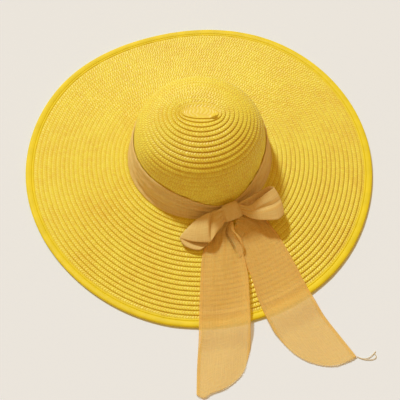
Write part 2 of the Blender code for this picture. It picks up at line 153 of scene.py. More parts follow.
# Middle lines of the tails from the knot's lower end, as shares of each tail's length.
TailRow = namedtuple("TailRow", "along x y width")
LEFT_TAIL_ROWS = (
    TailRow(0.00, -0.030, -0.005, 0.20),
    TailRow(0.08, -0.060, -0.090, 0.55),
    TailRow(0.18, -0.064, -0.209, 0.82),
    TailRow(0.32, -0.056, -0.351, 0.94),
    TailRow(0.60, -0.055, -0.626, 1.00),
    TailRow(0.80, -0.064, -0.824, 1.00),
    TailRow(1.00, -0.074, -1.033, 0.96),
)
RIGHT_TAIL_ROWS = (
    TailRow(0.00, 0.014, 0.004, 0.34),
    TailRow(0.07, 0.087, -0.020, 0.62),
    TailRow(0.15, 0.128, -0.080, 0.74),
    TailRow(0.23, 0.164, -0.151, 0.81),
    TailRow(0.37, 0.216, -0.278, 0.93),
    TailRow(0.48, 0.257, -0.382, 1.00),
    TailRow(0.67, 0.339, -0.546, 1.04),
    TailRow(0.84, 0.429, -0.687, 1.04),
    TailRow(1.00, 0.518, -0.815, 1.02),
)

# Cut ends: across from -1 at the left edge to 1 at the right, short_by a share of the width.
CutRow = namedtuple("CutRow", "across short_by")
LEFT_TAIL_CUT = (
    CutRow(-1.00, 0.06),
    CutRow(-0.72, 0.00),
    CutRow(-0.40, 0.10),
    CutRow(0.00, 0.18),
    CutRow(0.45, 0.34),
    CutRow(0.80, 0.58),
    CutRow(1.00, 1.05),
)
RIGHT_TAIL_CUT = (
    CutRow(-1.00, 1.30),
    CutRow(-0.85, 0.78),
    CutRow(-0.58, 0.45),
    CutRow(-0.10, 0.16),
    CutRow(0.30, 0.05),
    CutRow(0.68, 0.01),
    CutRow(1.00, 0.00),
)

# Two long threads that hang loose from the right tail's tip, in metres.
CurlRow = namedtuple("CurlRow", "along x y")
CURLS = (
    (
        CurlRow(0.00, 0.2043, -0.2838),
        CurlRow(0.15, 0.2104, -0.2867),
        CurlRow(0.30, 0.2155, -0.2881),
        CurlRow(0.44, 0.2207, -0.2884),
        CurlRow(0.58, 0.2253, -0.2875),
        CurlRow(0.71, 0.2287, -0.2852),
        CurlRow(0.84, 0.2291, -0.2824),
        CurlRow(1.00, 0.2270, -0.2798),
    ),
    (
        CurlRow(0.00, 0.2068, -0.2852),
        CurlRow(0.25, 0.2130, -0.2869),
        CurlRow(0.45, 0.2182, -0.2861),
        CurlRow(0.64, 0.2222, -0.2838),
        CurlRow(0.80, 0.2250, -0.2810),
        CurlRow(1.00, 0.2288, -0.2764),
    ),
)

# The two tails: phase shifts the waves of one against the other's.
Tail = namedtuple("Tail", "side rows cut phase curls")
TAILS = (
    Tail("left", LEFT_TAIL_ROWS, LEFT_TAIL_CUT, 0.0, ()),
    Tail("right", RIGHT_TAIL_ROWS, RIGHT_TAIL_CUT, 2.0, CURLS),
)

# Lengthwise creases of the band: place is a share of the way down its front, width a share of it,
# depth in metres, drift how far it wanders and phase where.
Crease = namedtuple("Crease", "place width depth drift phase")
BAND_CREASES = (
    Crease(0.14, 0.075, 0.0022, 0.030, 0.3),
    Crease(0.33, 0.090, 0.0034, 0.055, 1.9),
    Crease(0.56, 0.085, 0.0032, 0.060, 4.0),
    Crease(0.76, 0.080, 0.0028, 0.045, 0.8),
    Crease(0.92, 0.050, 0.0018, 0.020, 2.7),
)

# Loops, from the knot over the front, round the fold and back underneath, as in the frame.
LoopRow = namedtuple("LoopRow", "along side out up low_side low_out low_up")
LEFT_LOOP_ROWS = (
    LoopRow(0.14, 0.11, -0.10, 0.23, 0.27, 0.27, -0.21),
    LoopRow(0.29, 0.26, -0.10, 0.36, 0.49, 0.36, -0.46),
    LoopRow(0.43, 0.43, -0.10, 0.17, 0.77, 0.22, -0.64),
    LoopRow(0.57, 0.55, -0.10, -0.14, 1.00, 0.03, -0.83),
    LoopRow(0.71, 0.47, -0.07, -0.46, 0.98, 0.19, -0.92),
    LoopRow(0.86, 0.23, -0.03, -0.52, 0.74, 0.38, -0.96),
)
RIGHT_LOOP_ROWS = (
    LoopRow(0.14, 0.16, 0.07, 0.36, 0.14, 0.32, -0.14),
    LoopRow(0.29, 0.43, 0.04, 0.61, 0.42, 0.47, -0.08),
    LoopRow(0.43, 0.73, -0.02, 0.73, 0.72, 0.55, -0.14),
    LoopRow(0.57, 1.00, -0.09, 0.61, 0.99, 0.44, -0.39),
    LoopRow(0.71, 0.89, -0.15, 0.67, 0.88, 0.34, -0.64),
    LoopRow(0.86, 0.53, -0.12, 0.62, 0.47, 0.18, -0.55),
)
LoopRoot = namedtuple("LoopRoot", "top low")
LEFT_LOOP_ROOT = LoopRoot(0.12, 0.90)
RIGHT_LOOP_ROOT = LoopRoot(0.20, 0.78)
# Where the ribbon's two margins are at a place along a loop: the upper one, then the lower one.
Station = namedtuple("Station", "along x y z low_x low_y low_z")

# Knot, from its upper end down, as shares of its own sizes.
KnotRow = namedtuple("KnotRow", "along width depth")
KNOT_ROWS = (
    KnotRow(0.00, 0.62, 0.45),
    KnotRow(0.12, 0.80, 0.80),
    KnotRow(0.35, 0.86, 1.00),
    KnotRow(0.65, 0.96, 0.98),
    KnotRow(0.88, 1.00, 0.78),
    KnotRow(1.00, 0.84, 0.45),
)


def linear(code):
    """An sRGB hex colour as the linear one that a shader works with."""
    channels = [int(code[i : i + 2], 16) / 255 for i in (0, 2, 4)]
    return tuple(c / 12.92 if c <= 0.04045 else ((c + 0.055) / 1.055) ** 2.4 for c in channels)


def length(name, description, default):
    return FloatProperty(
        name=name, description=description, default=default, unit="LENGTH", precision=4
    )


def colour(name, description, code):
    return FloatVectorProperty(
        name=name, description=description, default=linear(code), size=3, subtype="COLOR", min=0, max=1
    )


class HatSizes(bpy.types.PropertyGroup):
    head_length: length("Head length", "Crown's foot from side to side", 0.188)
    head_width: length("Head width", "Crown's foot from front to back", 0.188)
    brim_span: length("Brim span", "From edge to edge, binding included", 0.480)
    edge_top: length("Edge height", "Brim's upper surface at its edge", 0.0033)
    straw: length("Straw", "Thickness of the braid", 0.0012)
    relief: length("Relief", "How far a row of braid stands over the groove beside it", 0.0016)
    crown_pitch: length("Crown rows", "From one row of braid to the next over the crown", 0.0069)
    brim_pitch: length("Brim rows", "From one row of braid to the next over the brim", 0.0062)
    tape: length("Tape", "Thickness of the binding", 0.0012)
    tape_width: length("Tape width", "Binding from the edge to its stitched lip", 0.0115)
    ribbon: length("Ribbon", "Thickness of the linen", 0.0004)
    ribbon_width: length("Ribbon width", "Ribbon laid flat", 0.068)
    band_height: length("Band height", "Ribbon as gathered round the crown", 0.040)
    band_dip: length("Band dip", "How far the knot pulls the band's upper edge down", 0.027)
    left_tail: length("Left tail", "Length of the left tail", 0.236)
    right_tail: length("Right tail", "Length of the right tail", 0.250)
    left_loop: length("Left loop", "From the knot's middle to the far fold", 0.0765)
    right_loop: length("Right loop", "From the knot's middle to the far fold", 0.065)
    loop_lift: length("Loop lift", "From the knot's middle to a loop's crest", 0.016)
    knot_length: length("Knot length", "Along the way the knot wraps", 0.024)
    knot_width: length("Knot width", "Across the gathers", 0.028)
    knot_depth: length("Knot depth", "How proud the knot stands", 0.012)
    crown_steps: IntProperty(name="Crown steps", description="Faces in one turn", default=144)
    brim_steps: IntProperty(name="Brim steps", description="Faces in one turn", default=216)


class HatColours(bpy.types.PropertyGroup):
    straw: colour("Straw", "Lit paper straw", "F2E34A")
    # Painted shade and tone: the straw in the crevices between strands, in the grooves at the rows'
    # edges, and in its darker random tones
    straw_shade_and_tone: colour("Straw shade", "Paper straw between the stitches", "D8940A")
    tape: colour("Tape", "Woven binding", "FFE822")
    ribbon: colour("Ribbon", "Linen threads in the light", "FFF3A8")
    ribbon_deep: colour("Ribbon shade", "Linen between the threads", "F8CC58")
    thread: colour("Thread", "Bare linen threads at the cut ends", "FBF1D2")
    floor: colour("Floor", "Pale studio floor", "E6F0FA")
    fill: colour("Fill light", "Warm light from all round", "FFCB8A")
    key: colour("Key light", "Cool light from behind, on the left", "EAF8FF")


def sizes():
    return bpy.context.scene.hat_sizes


def colours():
    return bpy.context.scene.hat_colours


def read(rows, key, at, column):
    """The column's values where the key column is at, on a smooth curve that never overshoots."""
    keys = np.array([getattr(row, key) for row in rows])
    values = np.array([getattr(row, column) for row in rows])
    steps = np.diff(keys)
    slopes = np.diff(values) / steps
    before, after = slopes[:-1], slopes[1:]
    same_way = before * after > 0
    total = np.where(same_way, before + after, 1.0)
    inner = np.where(same_way, 2 * before * after / total, 0.0)
    tangents = np.concatenate((slopes[:1], inner, slopes[-1:]))
    at = np.clip(at, keys[0], keys[-1])
    i = np.clip(np.searchsorted(keys, at, side="right") - 1, 0, len(steps) - 1)
    t = (at - keys[i]) / steps[i]
    return (
        (2 * t**3 - 3 * t**2 + 1) * values[i]
        + (t**3 - 2 * t**2 + t) * steps[i] * tangents[i]
        + (3 * t**2 - 2 * t**3) * values[i + 1]
        + (t**3 - t**2) * steps[i] * tangents[i + 1]
    )


def ease(share):
    """From 0 to 1 as the share goes from 0 to 1, slow at both ends."""
    t = np.clip(share, 0.0, 1.0)
    return t * t * (3 - 2 * t)


def points(x, y, z):
    return np.stack(np.broadcast_arrays(x, y, z), axis=-1)


def unit(vectors):
    return vectors / np.maximum(np.linalg.norm(vectors, axis=-1, keepdims=True), 1e-12)


def crown_at(drop, turn):
    """Points on the crown's surface at shares of its height below the tip."""
    s = sizes()
    long = s.head_length / 2 * read(CROWN_ROWS, "drop", drop, "length")
    wide = s.head_width / 2 * read(CROWN_ROWS, "drop", drop, "width")
    back = s.head_width / 2 * read(CROWN_ROWS, "drop", drop, "back")
    height = FOOT_TOP + CROWN_HEIGHT * (1 - drop)
    return points(long * np.cos(turn), back + wide * np.sin(turn), height)


def crown_out(drop, turn):
    """The crown's outward normals."""
    small = 1e-3
    lower = crown_at(np.minimum(drop + small, 1.0), turn)
    upper = crown_at(np.maximum(drop - small, 0.0), turn)
    around = crown_at(drop, turn + small) - crown_at(drop, turn - small)
    return unit(np.cross(lower - upper, around))


def beside_crown(height, turn, out):
    """Points at a height, moved out level from the crown."""
    s = sizes()
    drop = np.clip(1 - (height - FOOT_TOP) / CROWN_HEIGHT, 0.0, 1.0)
    point = crown_at(drop, turn)
    way = unit(points(np.cos(turn) / s.head_length, np.sin(turn) / s.head_width, 0.0))
    point[..., 2] = height
    return point + way * np.asarray(out)[..., None]


def foot_radius(turn):
    """From the hat's axis to the crown's foot."""
    s = sizes()
    across = np.hypot(s.head_width * np.cos(turn), s.head_length * np.sin(turn))
    return s.head_length * s.head_width / across / 2


def straw_radius(turn):
    """From the hat's axis to the braid's edge inside the binding."""
    s = sizes()
    first = WAVE_ROWS[0].turn
    degrees = (np.degrees(turn) - first) % 360.0 + first
    return (s.brim_span / 2 - s.tape) * (1 + read(WAVE_ROWS, "turn", degrees, "out"))


def brim_reach():
    """The crown's mean radius at its foot, and how far the brim's braid reaches from there."""
    s = sizes()
    foot = (s.head_length + s.head_width) / 4
    return foot, s.brim_span / 2 - s.tape - foot


def brim_top(reach):
    """Height of the brim's upper surface at shares of the way to the braid's edge."""
    s = sizes()
    return s.edge_top + (FOOT_TOP - s.edge_top) * read(BRIM_ROWS, "reach", reach, "rise")


def brim_at(reach, turn, up):
    """Points over the brim's upper surface, at shares of the way to the braid's edge."""
    foot = foot_radius(turn)
    radius = foot + (straw_radius(turn) - foot) * reach
    return points(radius * np.cos(turn), radius * np.sin(turn), brim_top(np.clip(reach, 0, 1)) + up)


def rest_height(x, y):
    """Where cloth lies: over the brim and its binding, and past the edge down to the floor."""
    s = sizes()
    turn, radius = np.arctan2(y, x), np.hypot(x, y)
    foot, edge = foot_radius(turn), straw_radius(turn)
    over_braid = brim_top(np.clip((radius - foot) / (edge - foot), 0.0, 1.0)) + SPANNED * s.relief
    onto_tape = ease((radius - edge + 2 * s.tape_width) / s.tape_width)
    past_edge = ease((radius - edge - RUN_ON) / STEP_DOWN)
    return (over_braid + TAPE_STANDS * s.tape * onto_tape) * (1 - past_edge) + OFF_FLOOR * past_edge


def near_knot(turn, spread):
    """1 beside the knot, falling to 0 round the band."""
    away = (turn - BOW_TURN + math.pi) % (2 * math.pi) - math.pi
    return np.exp(-((away / spread) ** 2))


def band_top(turn):
    """The band's upper edge, pulled down where the knot draws it together."""
    s = sizes()
    return FOOT_TOP + s.band_height - s.band_dip * near_knot(turn, DIP_SPREAD)


def fresh(made=None):
    """Object mode with nothing selected, or with one piece selected and active."""
    if bpy.context.mode != "OBJECT":
        bpy.ops.object.mode_set(mode="OBJECT")
    bpy.ops.object.select_all(action="DESELECT")
    if made is not None:
        bpy.context.view_layer.objects.active = made
        made.select_set(True)


def coordinates(made):
    flat = np.empty(len(made.data.vertices) * 3)
    made.data.vertices.foreach_get("co", flat)
    return flat.reshape(-1, 3)


def edit_all(made, operation, **settings):
    """Runs one edit-mode operator on the whole of a piece."""
    fresh(made)
    bpy.ops.object.mode_set(mode="EDIT")
    bpy.ops.mesh.select_all(action="SELECT")
    operation(**settings)
    bpy.ops.object.mode_set(mode="OBJECT")


def face_out(made):
    """Turns all the faces of a piece outwards."""
    edit_all(made, bpy.ops.mesh.normals_make_consistent, inside=False)


def thicken(made, wall, outward):
    """Gives a sheet its wall, on the side that its faces point to or on the other."""
    fresh(made)
    modifier = made.modifiers.new("Wall", "SOLIDIFY")
    modifier.thickness = wall
    modifier.offset = 1.0 if outward else -1.0
    bpy.ops.object.modifier_apply(modifier=modifier.name)


def smooth(made, degrees):
    """Shades a piece smooth, but for edges sharper than an angle."""
    fresh(made)
    bpy.ops.object.shade_smooth_by_angle(angle=math.radians(degrees))


def sheet_of(name, long, wide, place, lay):
    """A grid bent into a piece: place gives its points and lay its UVs in metres, both from the
    shares of the way along and across it. Points that meet are welded."""
    fresh()
    bpy.ops.mesh.primitive_grid_add(x_subdivisions=long, y_subdivisions=wide, size=2, calc_uvs=True)
    made = bpy.context.active_object
    made.name = made.data.name = name
    share = coordinates(made)[:, :2] / 2 + 0.5
    along, across = share[:, 0], share[:, 1]
    made.data.vertices.foreach_set("co", place(along, across).ravel())
    corner = np.empty(len(made.data.loops), dtype=np.int32)
    made.data.loops.foreach_get("vertex_index", corner)
    laid = np.stack(lay(along, across), axis=-1)[corner]
    made.data.uv_layers.active.data.foreach_set("uv", laid.ravel())
    edit_all(made, bpy.ops.mesh.remove_doubles, threshold=2e-6)
    return made


def ribbon_of(name, long, wide, place, lay):
    """A sheet of the ribbon with its wall, smooth all over."""
    made = sheet_of(name, long, wide, place, lay)
    thicken(made, sizes().ribbon, True)
    face_out(made)
    smooth(made, 180)
    return made


def rebuild(made, name, every, joined):
    """Names a primitive and gives it the points of its copies and the faces that join them."""
    made.name = made.data.name = name
    made.data.clear_geometry()
    made.data.from_pydata(np.concatenate(every), [], joined)
    face_out(made)
    smooth(made, 60)


def dress(made, material):
    """Gives a piece its material, and lets it ride on the hat."""
    made.data.materials.clear()
    made.data.materials.append(material)
    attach(made, "root")


def node(tree, kind, inputs=(), **settings):
    """Adds a node with its settings. inputs gives sockets their values, in order or by name or
    number: a value, another node's output, or another node, which stands for its first output."""
    made = tree.nodes.new(kind)
    for name, value in settings.items():
        setattr(made, name, value)
    pairs = inputs.items() if isinstance(inputs, dict) else enumerate(inputs)
    for socket, value in pairs:
        if isinstance(value, bpy.types.Node):
            value = value.outputs[0]
        if isinstance(value, bpy.types.NodeSocket):
            tree.links.new(value, made.inputs[socket])
        else:
            made.inputs[socket].default_value = value
    return made


def new_material(name):
    """An empty material and its node tree."""
    made = bpy.data.materials.new(name)
    made.use_nodes = True
    made.node_tree.nodes.clear()
    return made, made.node_tree


def paper_straw(row):
    """Paper straw, twisted and plaited: a faint gloss on each strand, and deeper gold painted as shade
    between the strands and in the grooves between rows.
    """
    made, tree = new_material("Plaited paper straw")
    c = colours()
    stitch = 0.0036  # metres along the braid; drawn a little coarser than the real 2.5 mm
    slant = -1.3  # stitches that a strand would run back over a whole row's width
    tip = 0.30  # metres of braid that are pulled smooth where they fold into the crown's tip
    uneven_scale, fibre_scale, tone_scale = 160.0, 900.0, 22.0  # per metre: 6, 1.1 and 45 mm

    uv = node(tree, "ShaderNodeUVMap", uv_map="UVMap").outputs[0]
    laid = node(tree, "ShaderNodeSeparateXYZ", (uv,))
    place = node(tree, "ShaderNodeTexCoord").outputs["Object"]
    uneven = node(tree, NOISE, {"Vector": uv, "Scale": uneven_scale, "Detail": 1.0})
    fibre = node(tree, NOISE, {"Vector": place, "Scale": fibre_scale, "Detail": 2.0})
    tone = node(tree, NOISE, {"Vector": place, "Scale": tone_scale, "Detail": 3.0})

    # Strands slant away from the middle of the row to both its edges.
    stitches = node(tree, MATH, (laid, stitch), operation="DIVIDE")
    along = node(tree, MATH, (uneven, 0.9, stitches), operation="MULTIPLY_ADD")
    across = node(tree, MATH, (laid.outputs[1], row), operation="DIVIDE")
    centred = node(tree, MATH, (across, 0.5), operation="SUBTRACT")
    half = node(tree, MATH, (centred,), operation="ABSOLUTE")
    slanted = node(tree, MATH, (half, slant, along), operation="MULTIPLY_ADD")
    within = node(tree, MATH, (slanted,), operation="FRACT")
    bulge = node(tree, MATH, (within, math.pi), operation="MULTIPLY")
    strand = node(tree, MATH, (bulge,), operation="SINE")

    # Each strand has a tone of its own.
    counted = node(tree, MATH, (slanted,), operation="FLOOR")
    lower = node(tree, MATH, (across, 0.5), operation="GREATER_THAN")
    which = node(tree, "ShaderNodeCombineXYZ", (counted, lower))
    chance = node(tree, "ShaderNodeTexWhiteNoise", (which,), noise_dimensions="2D")

    # Painted shade: rows darken towards the grooves at their edges. The braid is smoother at the tip.
    inside = node(tree, MATH, (0.5, half), operation="SUBTRACT")
    edge = node(tree, MATH, (inside, 9.0), operation="MULTIPLY")
    groove_shade = node(tree, MATH, (edge, 1.0, 0.2), operation="SMOOTH_MIN")
    walked = node(tree, MATH, (laid, tip), operation="DIVIDE")
    walked = node(tree, MATH, (walked, 1.0), operation="MINIMUM")
    formed = node(tree, MATH, (walked, 0.4), operation="MAXIMUM")

    # Painted shade: the colour deepens between the strands and towards each row's grooves; the
    # per-strand and patchy tones added below are the straw's own
    light = node(tree, MATH, (strand, 0.6), operation="POWER")
    light = node(tree, MATH, (light, groove_shade), operation="MULTIPLY")
    light = node(tree, MATH, (light, 0.8), operation="SUBTRACT")
    light = node(tree, MATH, (light, formed, 0.8), operation="MULTIPLY_ADD")
    light = node(tree, MATH, (light, 0.42, 0.42), operation="MULTIPLY_ADD")
    own = node(tree, MATH, (chance, formed), operation="MULTIPLY")
    light = node(tree, MATH, (own, 0.24, light), operation="MULTIPLY_ADD")
    faded = node(tree, MATH, (tone, 0.5), operation="SUBTRACT")
    light = node(tree, MATH, (faded, 0.5, light), operation="MULTIPLY_ADD")
    tones = {"Factor": light, COLOUR_A: (*c.straw_shade_and_tone, 1.0), COLOUR_B: (*c.straw, 1.0)}
    straw = node(tree, "ShaderNodeMix", tones, data_type="RGBA").outputs[MIXED]

    stitched = node(tree, MATH, (chance, 0.35, strand), operation="MULTIPLY_ADD")
    stitched = node(tree, MATH, (stitched, formed), operation="MULTIPLY")
    height = node(tree, MATH, (fibre, 0.4, stitched), operation="MULTIPLY_ADD")
    bump = node(tree, "ShaderNodeBump", {"Height": height, "Distance": 0.0005, "Strength": 0.9})
    shader = node(
        tree,
        "ShaderNodeBsdfPrincipled",
        {"Base Color": straw, "Normal": bump, "Roughness": 0.42, "Specular IOR Level": 0.45},
    )
    node(tree, "ShaderNodeOutputMaterial", (shader,))
    return made


def woven_tape():
    """Grosgrain tape of dyed yarn: ribs across it, a little brighter than the straw."""
    made, tree = new_material("Yellow woven tape")
    c = colours()
    rib = 0.0012  # metres along the tape; real ribs are near 0.6 mm, too fine to show
    tone_scale = 60.0  # per metre: patches about 17 mm across, where the dye took unevenly
    uv = node(tree, "ShaderNodeUVMap", uv_map="UVMap")
    laid = node(tree, "ShaderNodeSeparateXYZ", (uv,))
    turns = node(tree, MATH, (laid, 2 * math.pi / rib), operation="MULTIPLY")
    ribs = node(tree, MATH, (turns,), operation="SINE")
    place = node(tree, "ShaderNodeTexCoord").outputs["Object"]
    tone = node(tree, NOISE, {"Vector": place, "Scale": tone_scale, "Detail": 4.0})
    deeper = tuple(channel * 0.72 for channel in c.tape)
    tones = {"Factor": tone, COLOUR_A: (*deeper, 1.0), COLOUR_B: (*c.tape, 1.0)}
    dyed = node(tree, "ShaderNodeMix", tones, data_type="RGBA").outputs[MIXED]
    bump = node(tree, "ShaderNodeBump", {"Height": ribs, "Distance": 0.00015, "Strength": 0.6})
    shader = node(
        tree,
        "ShaderNodeBsdfPrincipled",
        {"Base Color": dyed, "Normal": bump, "Roughness": 0.5, "Specular IOR Level": 0.35},
    )
    node(tree, "ShaderNodeOutputMaterial", (shader,))
    return made


def sheer_linen(name, cover):
    """Open-weave linen with slubs: matt threads, and gaps that let light and what is below through."""
    made, tree = new_material(name)
    c = colours()
    half_width = sizes().ribbon_width / 2
    thread = 0.0010  # metres from thread to thread; really about 0.6 mm, drawn as coarse as shows
    wander_scale = 90.0  # per metre: a thread strays over about 11 mm
    drawn_out = 0.06  # of its length: a slub is long and thin along its thread
    selvage_width = 0.004  # metres at both edges where the threads are set closer
    see_through = 0.34  # share of the light that comes through the flax

    uv = node(tree, "ShaderNodeUVMap", uv_map="UVMap").outputs[0]
    laid = node(tree, "ShaderNodeSeparateXYZ", (uv,))
    wander = node(tree, NOISE, {"Vector": uv, "Scale": wander_scale, "Detail": 1.0})
    strayed = node(tree, MATH, (wander, 5.0), operation="MULTIPLY")
    bars = []
    for axis, other in ((0, 1), (1, 0)):
        # Each thread wanders a little and is thick and thin along its way.
        slower = node(tree, MATH, (laid.outputs[other], drawn_out), operation="MULTIPLY")
        reading = node(tree, "ShaderNodeCombineXYZ", {axis: laid.outputs[axis], other: slower})
        slub = node(tree, NOISE, {"Vector": reading, "Scale": 0.8 / thread, "Detail": 2.0})
        step = (laid.outputs[axis], 2 * math.pi / thread, strayed)
        wave = node(tree, MATH, step, operation="MULTIPLY_ADD")
        wave = node(tree, MATH, (wave,), operation="SINE")
        wave = node(tree, MATH, (wave, 0.14, 0.5), operation="MULTIPLY_ADD")
        thick = node(tree, MATH, (slub, 2.4, -0.2), operation="MULTIPLY_ADD")
        bars.append(node(tree, MATH, (wave, thick), operation="MULTIPLY"))
    weave = node(tree, MATH, bars, operation="MAXIMUM")

    # The woven edges are closer set, and deeper in colour.
    off_middle = node(tree, MATH, (laid.outputs[1], half_width), operation="SUBTRACT")
    off_middle = node(tree, MATH, (off_middle,), operation="ABSOLUTE")
    selvage = node(tree, MATH, (off_middle, half_width - selvage_width), operation="GREATER_THAN")
    dense = node(tree, MATH, (weave, 0.30, cover - 0.15), operation="MULTIPLY_ADD")
    dense = node(tree, MATH, (selvage, 0.14, dense), operation="MULTIPLY_ADD")
    dense = node(tree, MATH, (dense, 1.0), operation="MINIMUM")
    tinted = node(tree, MATH, (weave, 0.8, 0.25), operation="MULTIPLY_ADD")
    tinted = node(tree, MATH, (selvage, -0.2, tinted), operation="MULTIPLY_ADD")
    tones = {"Factor": tinted, COLOUR_A: (*c.ribbon_deep, 1.0), COLOUR_B: (*c.ribbon, 1.0)}
    tint = node(tree, "ShaderNodeMix", tones, data_type="RGBA", clamp_factor=True).outputs[MIXED]
    bump = node(tree, "ShaderNodeBump", {"Height": weave, "Distance": 0.0003, "Strength": 0.5})
    threads = node(
        tree,
        "ShaderNodeBsdfPrincipled",
        {"Base Color": tint, "Normal": bump, "Roughness": 0.85, "Specular IOR Level": 0.15},
    )
    # Light that comes through the flax is more orange than light thrown back by it.
    through = (c.ribbon_deep[0], c.ribbon_deep[1] * 0.9, c.ribbon_deep[2] * 0.6, 1.0)
    glow = node(tree, "ShaderNodeBsdfTranslucent", {"Color": through, "Normal": bump})
    cloth = node(tree, "ShaderNodeMixShader", (see_through, threads, glow))
    gaps = node(tree, "ShaderNodeBsdfTransparent")
    mixed = node(tree, "ShaderNodeMixShader", (dense, gaps, cloth))
    node(tree, "ShaderNodeOutputMaterial", (mixed,))
    return made


def bare_thread(name, colour):
    """Cotton or linen thread: matt and slightly fuzzy."""
    made, tree = new_material(name)
    fuzz_scale = 1500.0  # per metre: fibres about 0.7 mm long
    place = node(tree, "ShaderNodeTexCoord").outputs["Object"]
    fuzz = node(tree, NOISE, {"Vector": place, "Scale": fuzz_scale, "Detail": 2.0})
    deeper = tuple(channel * 0.7 for channel in colour)
    tones = {"Factor": fuzz, COLOUR_A: (*deeper, 1.0), COLOUR_B: (*colour, 1.0)}
    tint = node(tree, "ShaderNodeMix", tones, data_type="RGBA").outputs[MIXED]
    shader = node(
        tree,
        "ShaderNodeBsdfPrincipled",
        {"Base Color": tint, "Roughness": 0.8, "Specular IOR Level": 0.2},
    )
    node(tree, "ShaderNodeOutputMaterial", (shader,))
    return made


def spiral(name, rows, steps, surface, radius, pitch, flat_rows):
    """One long braid sewn in a spiral, its edges welded row to row. surface gives points and
    outward directions at a place from 0 at the start to 1 at the end, and a turn. The last
    flat_rows are pressed flat."""
    s = sizes()
    strips = len(BRAID_ROWS) - 1
    count = math.ceil((rows + 1) * steps)
    start = -math.pi / 2
    samples = 400
    level = np.linspace(0, 1, samples)
    lengths = np.cumsum(2 * math.pi * radius(level)) * rows / samples

    def section(across):
        j = across * strips
        marks = range(strips + 1)
        return (
            np.interp(j, marks, [row.across for row in BRAID_ROWS]),
            np.interp(j, marks, [row.height for row in BRAID_ROWS]),
        )

    def place(along, across):
        way, height = section(across)
        turned = along * count / steps
        walk = np.clip(turned + way - 1, 0, rows)
        turn = start + 2 * math.pi * turned
        points_at, outwards = surface(walk / rows, turn)
        # The first turns are pulled flat, and those at the back stay flat for longer.
        behind = ease(2 * np.sin(turn))
        fade = ease((walk - behind) / (0.45 + behind))
        proud = (s.relief * height * ease((rows - walk) / flat_rows) - SINK) * fade
        return points_at + outwards * proud[:, None]

    def lay(along, across):
        way, _ = section(across)
        turned = along * count / steps
        walked = np.interp(np.clip(turned - 0.5, 0, rows) / rows, level, lengths)
        return walked, way * pitch

    made = sheet_of(name, count, strips, place, lay)
    face_out(made)
    thicken(made, s.straw, False)
    smooth(made, 50)
    return made


class HAT_OT_crown(bpy.types.Operator):
    """Spirals the crown's braid from the straight fold at the tip down to the foot"""

    bl_idname = "hat.crown"
    bl_label = "Crown"

    def execute(self, context):
        s = sizes()
        samples = 600
        fine = np.linspace(0, 1, samples)
        front = crown_at(fine, np.full(samples, -math.pi / 2))
        walked = np.concatenate(([0.0], np.cumsum(np.linalg.norm(np.diff(front, axis=0), axis=1))))
        rows = walked[-1] / s.crown_pitch
        start_reach = 0.0055  # the straight start of the braid is felt this far down the crown,
        start_forward, start_slant = 0.0052, 0.10  # lies nearer the front and slants a little
        fold = np.array((0.0190, 0.0005))  # its end is tucked under here, in a small raised fold
        fold_long, fold_wide, fold_rise = 0.0035, 0.0030, 0.0028

        def surface(share, turn):
            drop = np.interp(share * walked[-1], walked, fine)
            spots = crown_at(drop, turn)
            near = np.exp(-((share * walked[-1] / start_reach) ** 2))
            spots[:, 1] -= (start_forward + start_slant * spots[:, 0]) * near
            off = np.hypot((spots[:, 0] - fold[0]) / fold_long, (spots[:, 1] - fold[1]) / fold_wide)
            spots[:, 2] += fold_rise * np.exp(-(off**2))
            return spots, crown_out(drop, turn)

        def radius(share):
            drop = np.interp(share * walked[-1], walked, fine)
            both = read(CROWN_ROWS, "drop", drop, "length") + read(CROWN_ROWS, "drop", drop, "width")
            return s.head_length / 4 * both

        made = spiral("crown_braid", rows, s.crown_steps, surface, radius, s.crown_pitch, 0.6)
        dress(made, paper_straw(s.crown_pitch))
        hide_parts("crown")
        return {"FINISHED"}


class HAT_OT_brim(bpy.types.Operator):
    """Carries the same braid on round the brim to its edge"""

    bl_idname = "hat.brim"
    bl_label = "Brim"

    def execute(self, context):
        s = sizes()
        foot, reach = brim_reach()
        rows = reach / s.brim_pitch
        under = -s.straw / reach  # it starts under the crown's wall

        def surface(share, turn):
            way = under + (1 - under) * share
            small = 0.004
            outward = brim_at(way + small, turn, 0.0) - brim_at(way - small, turn, 0.0)
            around = brim_at(way, turn + small, 0.0) - brim_at(way, turn - small, 0.0)
            return brim_at(way, turn, 0.0), unit(np.cross(outward, around))

        def radius(share):
            return foot + reach * share

        made = spiral("brim_braid", rows, s.brim_steps, surface, radius, s.brim_pitch, 2.4)
        dress(made, bpy.data.materials["Plaited paper straw"])
        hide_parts("brim")
        return {"FINISHED"}


